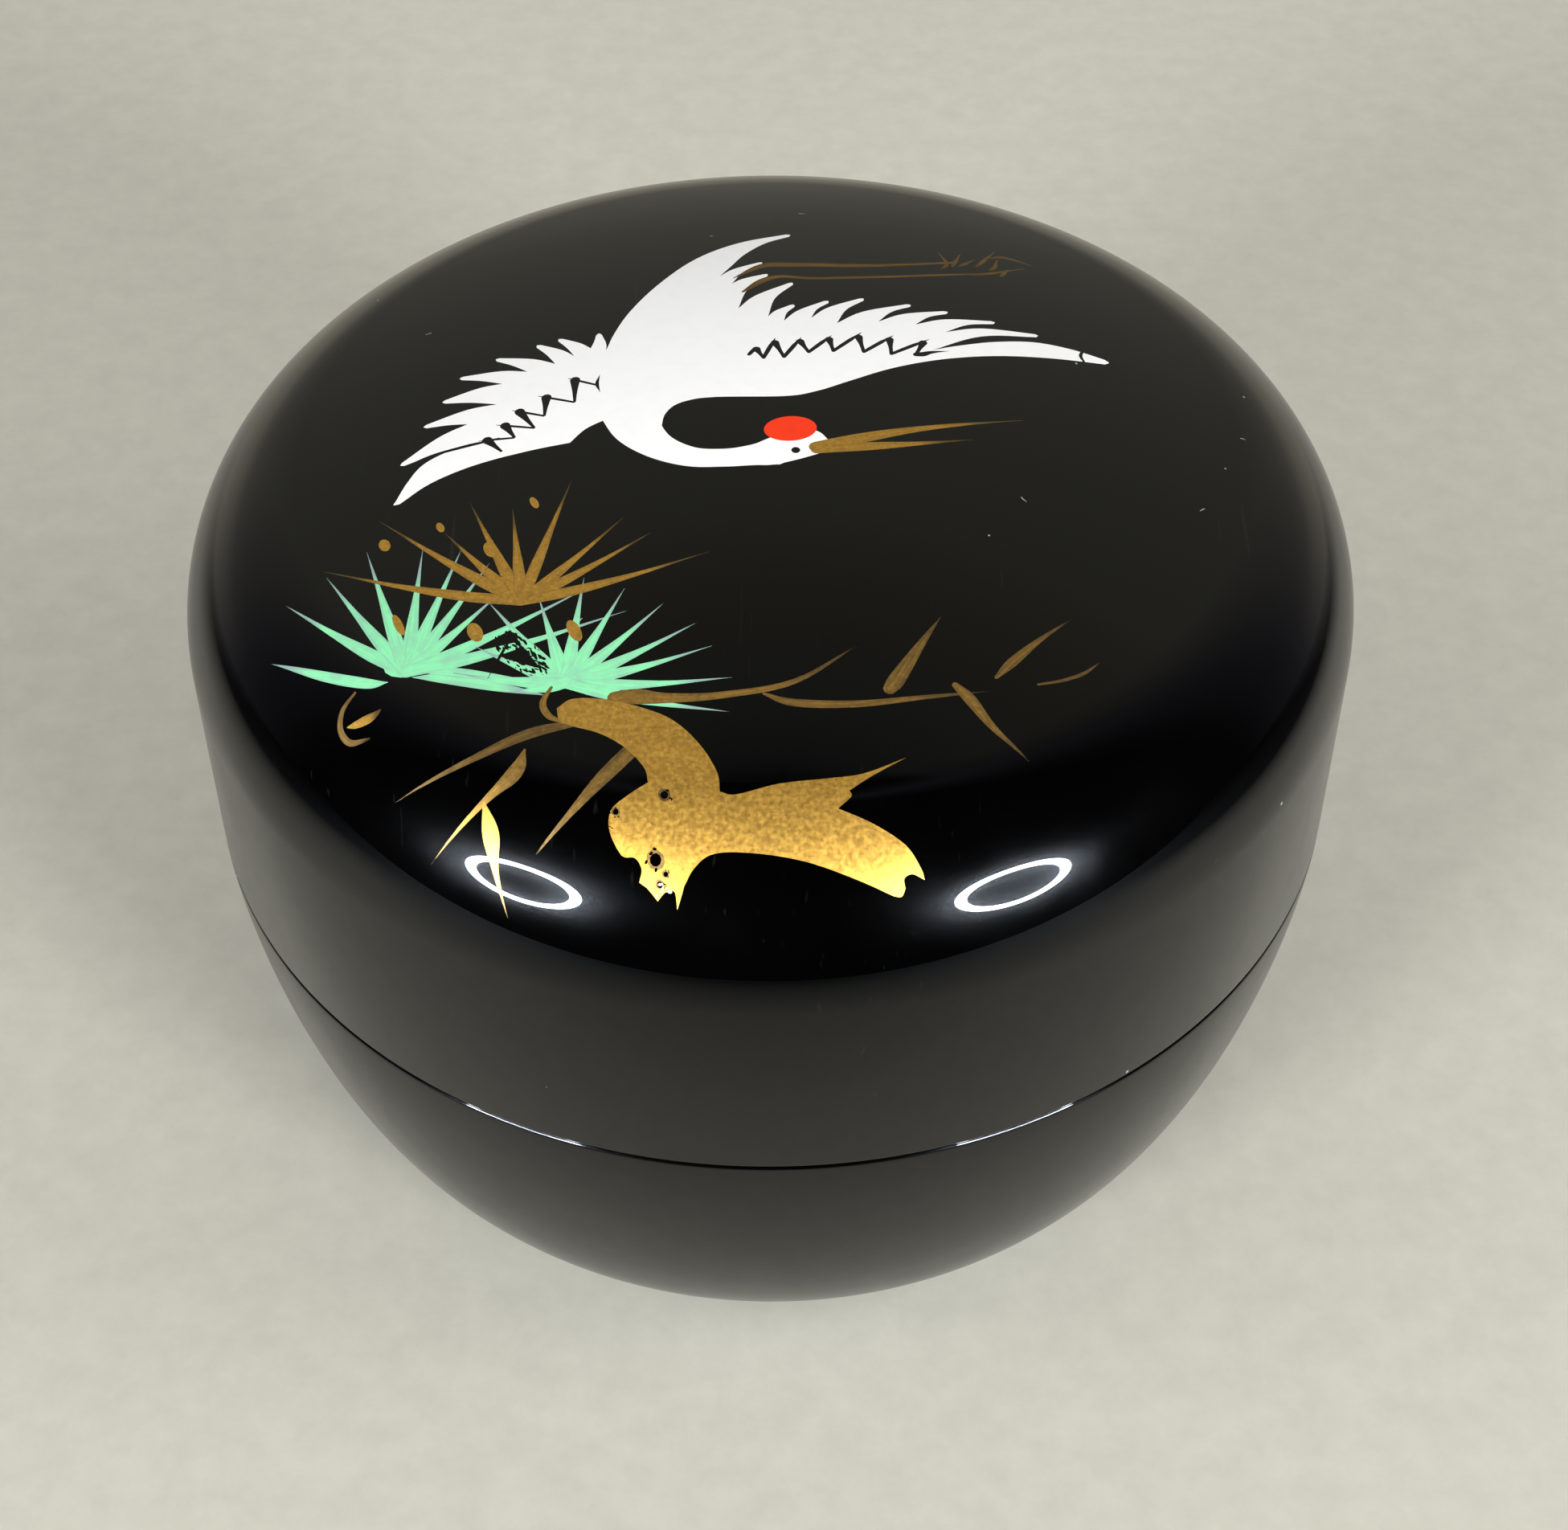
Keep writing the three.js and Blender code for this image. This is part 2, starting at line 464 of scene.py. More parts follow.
BACK_NOTCHES = [
    (-3.6, 15.5), (-2.7, 14.4), (-2.2, 10.9), (-0.1, 9.8), (1.0, 9.2), (2.9, 9.6),
    (4.7, 9.0), (7.6, 9.4), (10.2, 9.3), (12.3, 8.6), (11.3, 6.2),
]
BACK_TIPS = [
    (-0.7, 17.4), (-0.3, 15.6), (1.5, 14.3), (1.6, 11.2), (4.0, 11.8),
    (6.5, 12.3), (9.8, 11.8), (12.4, 11.2), (15.7, 10.4), (18.7, 9.3),
]
area(
    "white",
    [(-11.3, 6.3), (-10.8, 8.4), (-9.8, 11.2), (-7.9, 14.8), (-5.4, 18.3), (-2.4, 20.7), (1.2, 22.2)],
    [(1.2, 22.2), (1.5, 22.1), (1.4, 21.8)],
    [(1.4, 21.8), (-0.3, 20.7), (-1.8, 18.9), (-2.8, 17.0), (-3.6, 15.5)],
    *plumage(BACK_NOTCHES, BACK_TIPS),
    [(11.3, 6.2), (13.2, 7.0), (15.8, 7.9), (18.6, 8.4), (21.2, 8.1), (23.5, 7.4)],
    [(23.5, 7.4), (23.8, 7.1), (23.5, 6.8)],
    [
        (23.5, 6.8), (19.5, 6.6), (15.6, 6.1), (11.8, 5.1),
        (8.4, 3.7), (5.4, 2.0), (3.2, 0.8), (1.0, 0.2), (-3.6, 0.2),
    ],
    [(-3.6, 0.2), (-5.0, 0.05), (-6.3, -0.5), (-7.0, -1.5), (-7.2, -2.8)],
    [(-7.2, -2.8), (-8.6, -3.4)],
    [(-8.6, -3.4), (-9.8, -2.4), (-10.9, -1.6)],
    [(-10.9, -1.6), (-11.9, 2.2), (-11.3, 6.3)],
)
FRONT_NOTCHES = [
    (-11.3, 6.3), (-12.4, 6.7), (-13.5, 5.9), (-14.8, 5.2), (-16.7, 4.6),
    (-18.4, 3.5), (-18.6, 1.2), (-20.5, -0.6), (-18.8, -2.5),
]
FRONT_TIPS = [
    (-11.9, 8.3), (-14.6, 8.1), (-16.1, 7.6), (-18.9, 6.5),
    (-21.3, 4.8), (-22.3, 2.3), (-23.4, -0.2), (-24.7, -3.9),
]
area(
    "white",
    *plumage(FRONT_NOTCHES, FRONT_TIPS, bow=0.06, hollow=0.03),
    [(-18.8, -2.5), (-21.2, -3.1), (-23.2, -4.2), (-24.2, -5.8), (-24.9, -7.6)],
    [(-24.9, -7.6), (-25.0, -7.9), (-24.6, -7.9)],
    [(-24.6, -7.9), (-22.6, -6.3), (-19.8, -5.1), (-16.4, -4.3), (-13.3, -3.8)],
    [(-13.3, -3.8), (-12.3, -2.5), (-10.9, -1.6)],
    [(-10.9, -1.6), (-9.6, 2.0), (-11.3, 6.3)],
)
print("strokes after the wings:", len(strokes))

# %% [markdown]
# ## Lines in the wings
#
# Black zigzags mark where the short feathers end and the long ones start. Each tooth is two short wedges of
# lacquer black, thick at the outer corner and thin at the inner one.

# %% Zigzags


def zigzag(corners, thin, thick, lean):
    """A black line through inner and outer corners in turn, with a wedge hanging from each outer corner."""
    places = [Vector(corner) for corner in corners]
    for inner, outer, following in zip(places[0::2], places[1::2], places[2::2]):
        stroke("bare", [(*inner, thin), (*inner.lerp(outer, 0.6), thin * 1.2), (*outer, 0)], steps=2)
        root = outer.lerp(inner.lerp(following, lean), 0.24)
        stroke("bare", [(*root, thick), (*root.lerp(following, 0.5), thick * 0.5), (*following, thin)], steps=2)


BACK_ZIGZAG = [
    (-1.4, 5.0), (-0.9, 5.9), (-0.4, 4.6), (0.4, 7.0), (1.0, 4.7), (2.2, 7.1), (2.7, 5.3), (4.3, 7.4),
    (4.4, 5.5), (6.4, 7.9), (6.5, 5.5), (8.6, 7.7), (8.4, 5.4), (11.1, 7.5), (10.1, 5.5),
]
FRONT_ZIGZAG = [
    (-11.7, 2.2), (-13.8, 3.3), (-13.2, 0.5), (-15.8, 1.6), (-15.2, -0.7), (-17.5, 0.3),
    (-15.8, -1.9), (-18.5, -1.1), (-17.1, -2.7), (-19.6, -2.6), (-17.9, -4.0),
]
zigzag(BACK_ZIGZAG, 0.14, 0.3, lean=0.5)
zigzag(FRONT_ZIGZAG, 0.09, 0.36, lean=0.0)
for line in (
    [(10.1, 5.5, 0.22), (10.6, 5.6, 0.26), (11.2, 5.9, 0.16), (12.4, 6.2, 0)],
    [(-11.6, 3.4, 0), (-11.75, 2.4, 0.13), (-11.5, 1.4, 0)],
    [(-18.2, -2.6, 0.1), (-21.1, -3.1, 0.14), (-22.9, -3.5, 0.1), (-24.6, -4.2, 0.02)],
    [(22.0, 8.1, 0.1), (21.8, 7.4, 0.13), (22.0, 6.7, 0.08)],
):
    stroke("bare", line)
print("strokes after the zigzags:", len(strokes))

# %% [markdown]
# ## Neck, head and legs
#
# One stroke that thins out makes the bent neck, and a wedge ends it as the head. The red patch gives this crane
# its name. The bill and the legs are thin gold strokes, and the legs trail far past the tail. Each foot is a few
# short toes, painted by a loop.

# %% Neck, head, bill and legs
stroke(
    "white",
    [
        (-9.5, -0.9, 1.9), (-8.75, -3.0, 1.62), (-7.3, -4.8, 1.2), (-5.2, -5.95, 0.95),
        (-3.0, -6.15, 0.88), (-1.2, -5.95, 1.0), (0.4, -5.6, 1.3),
    ],
)
area(
    "white",
    [(-1.2, -5.0), (0.4, -4.0), (1.8, -3.4), (3.2, -3.5), (4.0, -4.5)],
    [(4.0, -4.5), (3.8, -5.2), (3.2, -5.8)],
    [(3.2, -5.8), (1.8, -6.4), (0.2, -6.9), (-1.2, -6.9)],
    [(-1.2, -6.9), (-1.6, -6.0), (-1.2, -5.0)],
)
dab("red", (1.4, -3.25), 3.55, 2.55, turn=8, corners=28)
dab("bare", (1.75, -5.45), 0.6, 0.62, corners=12)
stroke("gold", [(3.1, -5.1, 0.5), (6.4, -4.0, 0.48), (10.6, -2.7, 0.24), (17.3, -1.0, 0)])
stroke("gold", [(3.1, -5.4, 0.36), (6.6, -4.9, 0.4), (9.8, -4.4, 0.2), (13.6, -3.6, 0)])
LEGS = [
    [
        (-2.6, 15.2, 0.04), (-0.6, 17.0, 0.3), (1.4, 17.2, 0.32),
        (6.4, 17.3, 0.24), (10.0, 17.9, 0.16), (13.5, 18.8, 0.12),
    ],
    [
        (-1.9, 13.2, 0.1), (-0.6, 14.7, 0.3), (0.8, 15.4, 0.22),
        (3.4, 15.2, 0.17), (9.0, 15.9, 0.16), (16.0, 17.5, 0.1),
    ],
]
TOES = [
    [
        ((12.9, 18.5), (108, 242), 1.8), ((13.5, 18.8), (72, 250), 1.5),
        ((14.2, 18.7), (48, 225), 1.2), ((15.6, 19.4), (62, 240), 2.2),
    ],
    [
        ((16.4, 18.6), (78, 230), 1.4), ((16.0, 17.6), (28, 200), 3.0),
        ((17.2, 20.5), (-22, 205), 2.2), ((17.0, 17.7), (64, 240), 0.9),
    ],
]
for leg, toes in zip(LEGS, TOES):
    stroke("gold", leg, loaded=0.62)
    for place, (forward, backward), length in toes:
        front = polar(place, forward, length)
        back = polar(place, backward, length * 0.7)
        stroke("gold", [(*front, 0), (*place, 0.17), (*back, 0.03)], steps=3, loaded=0.6)
print("strokes in the whole painting:", len(strokes))

# %% [markdown]
# ## Cutting the painting into the lid
#
# The surface is first laid out flat, like a map with true distances from the middle. A Delaunay triangulation
# joins all points of that map into triangles and keeps every edge of every outline. No bmesh operator can cut
# curved outlines into a surface, so this one piece is made this way. Then each triangle asks which stroke was
# painted over it last, and every point is lifted on to the dome.

# %% The points of the flat map
RING_POINTS = 256
SHOULDER_RINGS = 30
CROWN_SPACING = 1.3 * MM


def ring(length, count, offset=0.0):
    """Points all round the map at one distance from its middle."""
    angles = [2 * math.pi * (step + offset) / count for step in range(count)]
    return [Vector((math.cos(angle), math.sin(angle))) * length for angle in angles]


map_points = [Vector((0, 0))]
crown_rings = round(crown_length / CROWN_SPACING)
for step in range(1, crown_rings + 1):
    length = crown_length * step / crown_rings
    map_points += ring(length, max(6, round(2 * math.pi * length / CROWN_SPACING)), offset=step % 2 / 2)
for step in range(1, SHOULDER_RINGS + 1):
    length = crown_length + (skin_length - crown_length) * step / SHOULDER_RINGS
    map_points += ring(length, RING_POINTS)
print("points that carry the curve:", len(map_points))

map_edges = []
for item in strokes:
    for loop, closed in ((item.outline, True), (item.spine, False)):
        if not loop:
            continue
        first = len(map_points)
        map_points += [point.xy * MM for point in loop]
        count = len(loop)
        map_edges += [(first + i, first + (i + 1) % count) for i in range(count if closed else count - 1)]
print("points with the painting:", len(map_points))

# %% Triangles, and the stroke that each one shows
SAME = 1e-7
ALL_TRIANGLES = 0
flat_points, _, flat_faces, _, _, _ = geometry.delaunay_2d_cdt(map_points, map_edges, [], ALL_TRIANGLES, SAME)


def is_inside(point, outline):
    """True if the outline winds round the point."""
    winding = 0
    for start, end in zip(outline, [*outline[1:], outline[0]]):
        if (start.y <= point.y) != (end.y <= point.y):
            side = (end.x - start.x) * (point.y - start.y) - (end.y - start.y) * (point.x - start.x)
            if (side > 0) == (end.y > start.y):
                winding += 1 if end.y > start.y else -1
    return winding != 0


def box_of(outline):
    """Lowest and highest corner of an outline."""
    across = [point.x for point in outline]
    away = [point.y for point in outline]
    return min(across), min(away), max(across), max(away)


stroke_boxes = [box_of(item.outline) for item in strokes]


def top_stroke(middle):
    """The number of the stroke painted last over this point, or None on bare lacquer."""
    for number in reversed(range(len(strokes))):
        left, near, right, far = stroke_boxes[number]
        if left <= middle.x <= right and near <= middle.y <= far:
            if is_inside(middle, strokes[number].outline):
                return number
    return None


owners = []
for corners in flat_faces:
    middle = sum((flat_points[corner] for corner in corners), Vector((0, 0))) / len(corners) / MM
    owners.append(top_stroke(middle))
painted = sum(owner is not None for owner in owners)
print("triangles:", len(flat_faces), "of which painted:", painted)

# %% [markdown]
# ## How thick the paint lies
#
# A brush leaves most paint in the middle of a stroke, less at its edges and almost none at its tip. Every corner
# of every painted triangle therefore gets two things: its place along and across the stroke, kept as a UV map,
# and a number called load, from 0 for bare to 1 for full. The materials read both.

# %% Place and load inside a stroke
EDGE_LOSS = 0.14
TIP_SHARE = 0.35
TIP_LOAD = 0.12


def brush_place(item, point):
    """(distance along, distance across, load) of a point in millimetres, as its stroke sees it."""
    if item.spine is None:
        return point.x, point.y, item.loaded
    travelled = 0.0
    best = None
    total = sum((end.xy - start.xy).length for start, end in zip(item.spine, item.spine[1:]))
    for start, end in zip(item.spine, item.spine[1:]):
        step = end.xy - start.xy
        share = min(max((point - start.xy).dot(step) / max(step.length_squared, 1e-9), 0), 1)
        nearest = start.lerp(end, share)
        distance = (point - nearest.xy).length
        if best is None or distance < best[0]:
            side = 1 if step.cross(point - start.xy) > 0 else -1
            best = (distance, travelled + share * step.length, side, nearest.z)
        travelled += step.length
    distance, along, side, half = best
    edge = min(distance / max(half, 0.05), 1)
    to_go = (total - along) / total
    tip = min(1, to_go / TIP_SHARE) if item.spine[-1].z < 0.1 else 1
    load = item.loaded * (1 - EDGE_LOSS * edge**4) * (TIP_LOAD + (1 - TIP_LOAD) * tip)
    return along, side * distance, load


# %% [markdown]
# ## Turning the shells
#
# Real caddies are turned, and spin does the same: it takes a line of points and carries it once round the axis.
# The points only give the line's corners. Small rounded edges come afterwards, from bevel, because the edge of a
# lathe-turned rim is also broken last.

# %% Spin a line into a shell
EDGE_BREAK = 0.25 * MM
CREASE = math.radians(35)


def spin_line(shape, line, segments=RING_POINTS):
    """Carries a line of (radius, height) points once round the vertical axis."""
    verts = [shape.verts.new((radius, 0, height)) for radius, height in line]
    edges = [shape.edges.new(pair) for pair in zip(verts, verts[1:])]
    bmesh.ops.spin(
        shape, geom=[*verts, *edges], cent=(0, 0, 0), axis=(0, 0, 1), dvec=(0, 0, 0),
        angle=2 * math.pi, steps=segments, use_merge=True, use_duplicate=False,
    )
    bmesh.ops.remove_doubles(shape, verts=shape.verts, dist=SAME)
    bmesh.ops.dissolve_degenerate(shape, edges=shape.edges, dist=SAME)


def break_rings(shape, places, width, segments=3):
    """Rounds the ring edges that lie at the given (radius, height) places."""

    def on_ring(vert, radius, height):
        return abs(vert.co.xy.length - radius) < 1e-6 and abs(vert.co.z - height) < 1e-6

    for radius, height in places:
        edges = [e for e in shape.edges if all(on_ring(vert, radius, height) for vert in e.verts)]
        bmesh.ops.bevel(
            shape, geom=edges, offset=width, offset_type="OFFSET", affect="EDGES", segments=segments,
            profile=0.5, clamp_overlap=True, material=-1,
        )


def soften(shape):
    """Smooth faces everywhere, with a crease wherever two faces turn sharply."""
    for face in shape.faces:
        face.smooth = True
    for edge in shape.edges:
        edge.smooth = edge.calc_face_angle(0) < CREASE


# %% The lid: painted skin, wall, rim and inside
SLOT_OF = {"bare": 0, "white": 1, "red": 2, "green": 3, "gold": 4, "dust": 5}
INSIDE_STEPS = 24
STREAK_SHIFT = 3.7

seam_height = lid_low.z
lid_bore = LID_RADIUS - LID_WALL

lid_shape = bmesh.new()
brush_map = lid_shape.loops.layers.uv.new("brush")
load_layer = lid_shape.loops.layers.float.new("load")
skin_layer = lid_shape.faces.layers.int.new("skin")
skin_verts = [lid_shape.verts.new(lifted(point)[0]) for point in flat_points]
for corners, owner in zip(flat_faces, owners):
    face = lid_shape.faces.new([skin_verts[corner] for corner in corners])
    face[skin_layer] = 1
    if owner is None:
        continue
    item = strokes[owner]
    face.material_index = SLOT_OF[item.paint]
    for loop, corner in zip(face.loops, corners):
        along, across, load = brush_place(item, flat_points[corner] / MM)
        loop[brush_map].uv = (along + STREAK_SHIFT * owner, across)
        loop[load_layer] = load

inside_line = [dome_point(step / INSIDE_STEPS * math.pi / 2, LID_WALL) for step in range(INSIDE_STEPS + 1)]
spin_line(
    lid_shape,
    [
        (LID_RADIUS, shoulder_height), (LID_RADIUS, seam_height), (lid_bore, seam_height),
        *reversed(inside_line),
    ],
)
break_rings(lid_shape, [(LID_RADIUS, seam_height), (lid_bore, seam_height)], EDGE_BREAK)
bmesh.ops.recalc_face_normals(lid_shape, faces=lid_shape.faces)
soften(lid_shape)
print("open edges left on the lid:", sum(not edge.is_manifold for edge in lid_shape.edges))

# %% [markdown]
# ## The body's curve
#
# Below the seam the caddy narrows to its foot: upright at the seam, almost flat where it meets the table. One
# formula with two exponents gives that curve, and the inside follows it one wall further in. A thin collar
# stands up inside the seam, and the lid slides over it.

# %% The body: foot, belly, ledge, collar and inside
FOOT_RADIUS = 27.9 * MM
FOOT_RING = 3 * MM
FOOT_RECESS = 0.8 * MM
BODY_WALL = 2.6 * MM
COLLAR_WALL = 1.9 * MM
COLLAR_EDGE = 0.5 * MM
FIT_GAP = 0.3 * MM
INSIDE_CORNER = 0.2 * MM
BELLY_SPREAD = 2.24
BELLY_RISE = 1.47
BELLY_STEPS = 44


def belly_point(share):
    """Radius and height of the belly, for a share of the way from the foot to the seam."""
    turn = share * math.pi / 2
    widening = math.sin(turn) ** (2 / BELLY_SPREAD)
    climb = 1 - math.cos(turn) ** (2 / BELLY_RISE)
    return Vector((FOOT_RADIUS + (LID_RADIUS - FOOT_RADIUS) * widening, seam_height * climb))


belly = [belly_point(step / BELLY_STEPS) for step in range(BELLY_STEPS + 1)]
collar_outer = lid_bore - FIT_GAP
collar_inner = collar_outer - COLLAR_WALL
belly_inside = [Vector((FOOT_RADIUS, BODY_WALL))]
for before, point, after in zip(belly, belly[1:], belly[2:]):
    along = (after - before).normalized()
    belly_inside.append(point + Vector((-along.y, along.x)) * BODY_WALL)
belly_inside = [point for point in belly_inside if point.x < collar_inner]
recess_radius = FOOT_RADIUS - FOOT_RING
collar_top = body_high.z

body_shape = bmesh.new()
spin_line(
    body_shape,
    [
        (0, FOOT_RECESS), (recess_radius - FOOT_RECESS, FOOT_RECESS), (recess_radius, 0),
        *belly[:-1], (LID_RADIUS, seam_height), (collar_outer, seam_height), (collar_outer, collar_top),
        (collar_inner, collar_top), (collar_inner, belly_inside[-1].y + INSIDE_CORNER),
        *reversed(belly_inside), (0, BODY_WALL),
    ],
)
break_rings(body_shape, [(LID_RADIUS, seam_height)], EDGE_BREAK)
break_rings(body_shape, [(collar_outer, collar_top), (collar_inner, collar_top)], COLLAR_EDGE)
bmesh.ops.recalc_face_normals(body_shape, faces=body_shape.faces)
soften(body_shape)
print("open edges left on the body:", sum(not edge.is_manifold for edge in body_shape.edges))

# %% [markdown]
# ## The materials
#
# Every finish is a short function that adds nodes to a Principled shader. A few little helpers keep them readable:
# they make a node with its settings, join sockets and set plain values. Patterns read Object coordinates in
# metres, so a scale of 1000 makes a pattern one millimetre big.

# %% Node helpers


def node(tree, kind, **settings):
    """A new node. Settings that name a socket set its value, and the others set a property of the node."""
    made = tree.nodes.new("ShaderNode" + kind)
    for name, value in settings.items():
        socket = name.replace("_", " ")
        if socket in made.inputs:
            made.inputs[socket].default_value = value
        else:
            setattr(made, name, value)
    return made


def join(tree, source, target, socket):
    """Links an output to an input, given by name or number."""
    tree.links.new(source, target.inputs[socket])


def feed(tree, value, socket):
    """Links an output to an input, or sets a number or a colour on it."""
    if isinstance(value, bpy.types.NodeSocket):
        tree.links.new(value, socket)
    elif isinstance(value, tuple):
        socket.default_value = (*value, 1)
    else:
        socket.default_value = value


def set_values(surface, **values):
    """Sets plain values on a shader's own sockets. An underscore stands for a space."""
    for name, value in values.items():
        surface.inputs[name.replace("_", " ")].default_value = value


def sum_of(tree, operation, first, second):
    """A Math node of two inputs, each a socket or a number."""
    made = node(tree, "Math", operation=operation)
    for index, value in enumerate((first, second)):
        feed(tree, value, made.inputs[index])
    return made.outputs[0]


def stretch(tree, value, low, high, to_low=0.0, to_high=1.0):
    """Maps a value from one range to another, without going past its ends."""
    made = node(tree, "MapRange", From_Min=low, From_Max=high, To_Min=to_low, To_Max=to_high)
    join(tree, value, made, "Value")
    return made.outputs[0]


def mixed(tree, share, first, second):
    """A colour between two colours, each a socket or three numbers."""
    made = node(tree, "Mix", data_type="RGBA")
    join(tree, share, made, "Factor")
    for slot, value in ((6, first), (7, second)):
        feed(tree, value, made.inputs[slot])
    return made.outputs[2]


def noise(tree, place, scale, detail=2.0, roughness=0.5):
    """Soft noise at a place, of the given scale."""
    made = node(tree, "TexNoise", Scale=scale, Detail=detail, Roughness=roughness)
    join(tree, place, made, "Vector")
    return made.outputs["Fac"]


def new_material(name):
    """A material with its node tree and its Principled shader."""
    material = bpy.data.materials.new(name)
    material.use_nodes = True
    tree = material.node_tree
    return material, tree, tree.nodes["Principled BSDF"]


# %% [markdown]
# ## Dust and hairline scratches
#
# Old polished lacquer is never clean. Dust sits on it as pale specks, and years of wiping leave hairlines that
# only show near a bright reflection. Dust is a Voronoi pattern where only a few cells pass, and hairlines are
# noise squeezed thin in one direction.

# %% Dust and hairlines
LACQUER_BLACK = (0.0002, 0.0002, 0.0002)
DUST_COLOUR = (0.3, 0.3, 0.29)
DUST_CELLS = 420
CLEAN_CELLS = 0.93
SCRATCH_PULL = (2600, 60, 900)


def dust(tree, place):
    """1 on a speck of dust and 0 elsewhere."""
    cells = node(tree, "TexVoronoi", Scale=DUST_CELLS, Randomness=1)
    join(tree, place, cells, "Vector")
    chance = node(tree, "SeparateColor")
    join(tree, cells.outputs["Color"], chance, 0)
    chosen = sum_of(tree, "GREATER_THAN", chance.outputs[0], CLEAN_CELLS)
    size = stretch(tree, chance.outputs[1], 0, 1, 0.02, 0.055)
    near = sum_of(tree, "LESS_THAN", cells.outputs["Distance"], size)
    return sum_of(tree, "MULTIPLY", chosen, near)


def hairlines(tree, place):
    """Pale where a fine scratch runs."""
    squeezed = node(tree, "Mapping", Rotation=(0.2, 0.1, 0.7), Scale=SCRATCH_PULL)
    join(tree, place, squeezed, "Vector")
    lines = noise(tree, squeezed.outputs[0], 1.0, detail=1.0)
    where = noise(tree, place, 70, detail=1.0)
    return sum_of(tree, "MULTIPLY", stretch(tree, lines, 0.71, 0.76), stretch(tree, where, 0.5, 0.6))


# %% [markdown]
# ## Black lacquer
#
# Lacquer is a deep black with a clear, hard polish, and a pale floor mirrored in it is what makes it look grey
# from the side. A sharp clear coat gives the mirror image. Under it lies a very faint rough layer that gives
# bright lamps their soft, slightly grainy halo. Values that are the same everywhere sit on the sockets.

# %% Lacquer
HALO_ROUGHNESS = 0.175
BROWN_DEPTH = (0.0005, 0.0004, 0.0003)
SCRATCH_GREY = (0.12, 0.12, 0.13)
SCRATCH_SHARE = 0.04
GRIT_DEPTH = 0.02 * MM
CLEAR_IOR = 1.5


def lacquer(name):
    """Polished black lacquer."""
    material, tree, surface = new_material(name)
    place = node(tree, "TexCoord").outputs["Object"]
    depth = mixed(tree, noise(tree, place, 90, detail=3.0), LACQUER_BLACK, BROWN_DEPTH)
    scratched = sum_of(tree, "MULTIPLY", hairlines(tree, place), SCRATCH_SHARE)
    shown = mixed(tree, scratched, depth, SCRATCH_GREY)
    join(tree, mixed(tree, dust(tree, place), shown, DUST_COLOUR), surface, "Base Color")
    cloud = noise(tree, place, 160, detail=4.0)
    halo = stretch(tree, cloud, 0.3, 0.7, HALO_ROUGHNESS - 0.04, HALO_ROUGHNESS + 0.05)
    join(tree, halo, surface, "Roughness")
    grit = node(tree, "Bump", Strength=0.35, Distance=GRIT_DEPTH)
    join(tree, noise(tree, place, 5200, detail=2.0), grit, "Height")
    join(tree, grit.outputs[0], surface, "Normal")
    set_values(surface, IOR=CLEAR_IOR, Specular_IOR_Level=0.036)
    set_values(surface, Coat_Weight=1.0, Coat_Roughness=0.02, Coat_IOR=CLEAR_IOR)
    return material


# %% [markdown]
# ## Paint
#
# All paints share one build: where the load is high the paint covers, and where it runs out, at hair-thin tips
# and along dry edges, the black shows through in streaks that follow the brush. Gold is powder in lacquer, so it
# shines like metal but softly, shows a fine grain, and turns from brown to bright yellow as it catches the light.

# %% Paint
STREAK_PULL = (0.35, 7.0, 1.0)


def paint(name, full, thin, rough, metallic=0.0, streaks=0.25, spots=0.35, spot_scale=900):
    """A paint with its full colour, its colour where it is thin, and its sheen."""
    material, tree, surface = new_material(name)
    place = node(tree, "TexCoord").outputs["Object"]
    brush = node(tree, "UVMap", uv_map="brush").outputs[0]
    load = node(tree, "Attribute", attribute_name="load").outputs["Fac"]
    pulled = node(tree, "Mapping", Scale=STREAK_PULL)
    join(tree, brush, pulled, "Vector")
    streak = noise(tree, pulled.outputs[0], 1.0, detail=3.0)
    grain = noise(tree, place, 3200, detail=2.0)
    ragged = sum_of(tree, "ADD", sum_of(tree, "MULTIPLY", streak, 0.45), sum_of(tree, "MULTIPLY", grain, 0.25))
    cover = stretch(tree, sum_of(tree, "SUBTRACT", load, ragged), -0.28, -0.05)
    streaky = sum_of(tree, "SUBTRACT", load, sum_of(tree, "MULTIPLY", streak, streaks))
    colour = mixed(tree, stretch(tree, streaky, 0.3, 0.75), thin, full)
    stained = stretch(tree, noise(tree, place, spot_scale, detail=3.0), 0.45, 0.68, 0, spots)
    colour = mixed(tree, stained, colour, thin)
    colour = mixed(tree, cover, LACQUER_BLACK, colour)
    join(tree, colour, surface, "Base Color")
    join(tree, stretch(tree, grain, 0.3, 0.7, rough - 0.06, rough + 0.08), surface, "Roughness")
    set_values(surface, Metallic=metallic, Specular_IOR_Level=0.3)
    return material


def plain(name, colour, rough):
    """One even, matt colour."""
    material, tree, surface = new_material(name)
    set_values(surface, Base_Color=(*colour, 1), Roughness=rough)
    return material


lid_finishes = [
    lacquer("lid_lacquer_black"),
    paint("white_paint", (0.95, 0.95, 0.95), (0.87, 0.86, 0.85), 0.5, streaks=0.0, spots=0.2),
    paint("red_paint", (0.9, 0.036, 0.001), (0.75, 0.03, 0.004), 0.45),
    paint("green_paint", (0.235, 0.78, 0.385), (0.24, 0.38, 0.35), 0.45, streaks=0.58),
    paint(
        "gold_paint", (0.76, 0.41, 0.068), (0.22, 0.13, 0.045), 0.42, metallic=0.85, streaks=0.48, spots=0.3,
        spot_scale=5200,
    ),
    plain("dust_fibre", DUST_COLOUR, 0.8),
]
body_lacquer = lacquer("body_lacquer_black")
print("materials:", [material.name for material in bpy.data.materials])

# %% Both shells become objects
lid = make_object("painted_lid", lid_shape, lid_finishes)
body = make_object("turned_body", body_shape, [body_lacquer])
hook_up(lid, "lid")
hook_up(body, "body")

